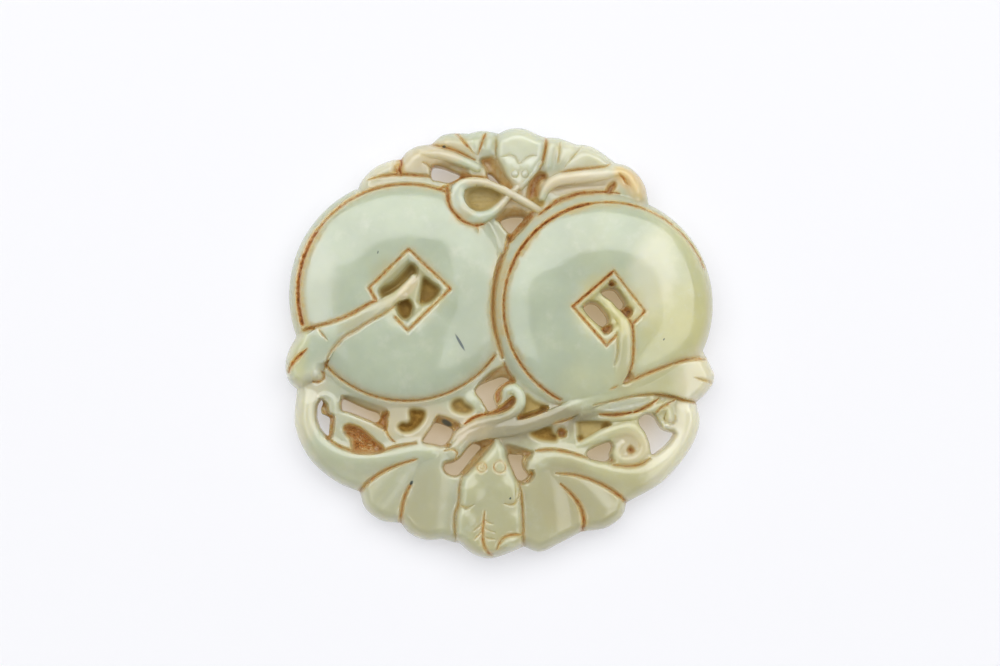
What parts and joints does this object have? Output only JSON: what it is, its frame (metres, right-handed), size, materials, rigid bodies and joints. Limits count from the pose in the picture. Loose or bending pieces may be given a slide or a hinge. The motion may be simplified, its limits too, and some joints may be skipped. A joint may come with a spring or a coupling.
{
  "type": "carved jade pendant",
  "caption": "Round openwork jade plaque: two overlapping domed coins threaded with ribbon, between two bats with spread wings.",
  "frame": {"origin": "centre of the plan's bounding box, on the flat back", "axes": "+Z out of the carved front, +Y towards the upper bat, +X to the right as seen from the front"},
  "size_m": [0.056, 0.056, 0.0076],
  "materials": {
    "jade": "polished, translucent, with brown stain in the cut lines"
  },
  "bodies": {
    "root": {"jade_carving": "jade"}
  },
  "joints": []
}
